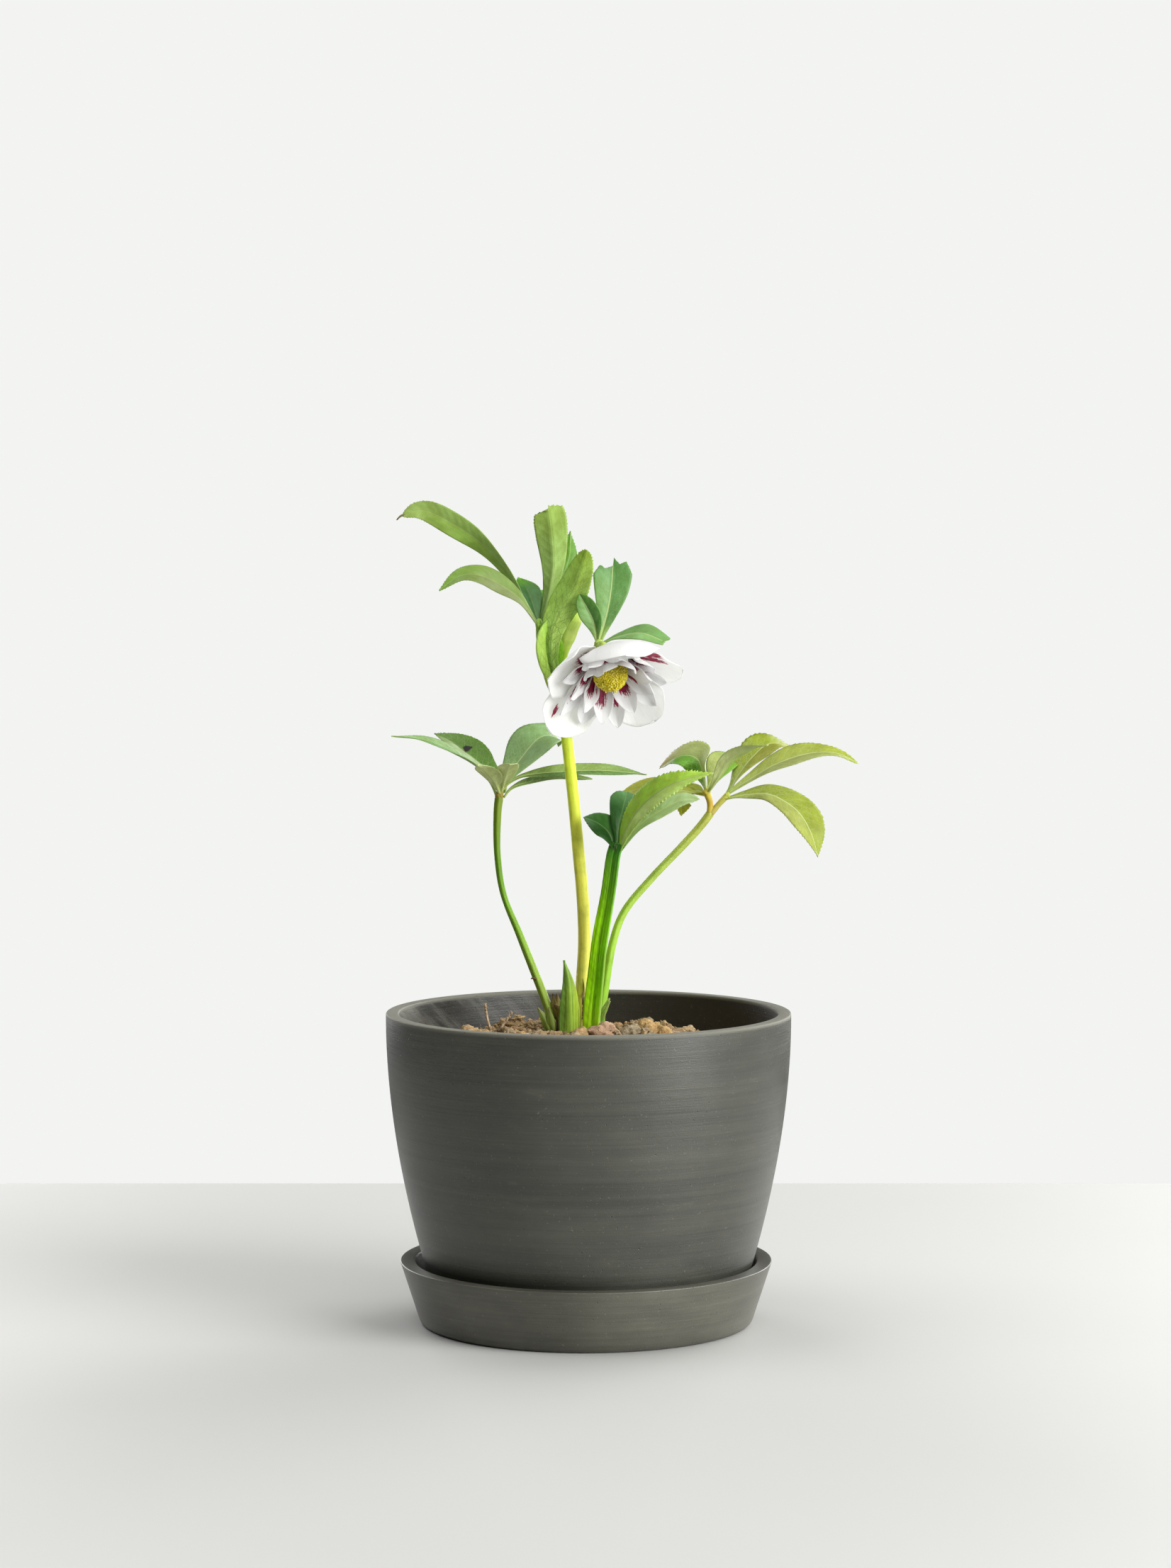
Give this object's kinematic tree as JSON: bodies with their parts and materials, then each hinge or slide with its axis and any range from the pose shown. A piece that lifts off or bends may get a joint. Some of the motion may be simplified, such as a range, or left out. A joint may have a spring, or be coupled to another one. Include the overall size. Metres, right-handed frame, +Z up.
{
  "type": "potted christmas rose",
  "caption": "Flowering christmas rose with cut leaves and a nodding double bloom, growing in a round swelling pot on a shallow saucer.",
  "frame": {"origin": "on the table under the pot, on the pot's axis, at the saucer's flat bottom", "axes": "+Z up, -Y towards the viewer and the bloom's face, +X to the viewer's right"},
  "size_m": [0.2343, 0.2, 0.406],
  "materials": {
    "saucer_clay": "matt dark clay, lightly brushed",
    "pot_clay": "matt dark clay with fine level streaks",
    "soil": "crumbly, gritty, dry",
    "leaf_green": "blue-green leaf, satin",
    "leaf_lime": "yellow-green leaf, satin",
    "leaf_deep": "deep green leaf, satin",
    "stem_green": "fresh green stem and bracts, satin",
    "petal_white": "thin white petal with crimson flares",
    "anther_yellow": "powdery yellow",
    "crown_bark": "dry brown scales",
    "sheath_green": "pale green sheath, satin",
    "bud_green": "young green bud, satin",
    "dry_straw": "dry straw colour"
  },
  "bodies": {
    "root": {"saucer": "saucer_clay", "pot": "pot_clay", "soil": "soil", "leaf_left": "leaf_green", "leaf_right": "leaf_lime", "leaf_middle": "leaf_deep", "flower_stem": "stem_green", "flower_petals": "petal_white", "flower_stamens": "anther_yellow", "crown": "crown_bark", "basal_sheath": "sheath_green", "bud_right": "bud_green", "old_stub": "dry_straw", "dry_root_left": "dry_straw", "dry_root_right": "dry_straw"}
  },
  "joints": []
}
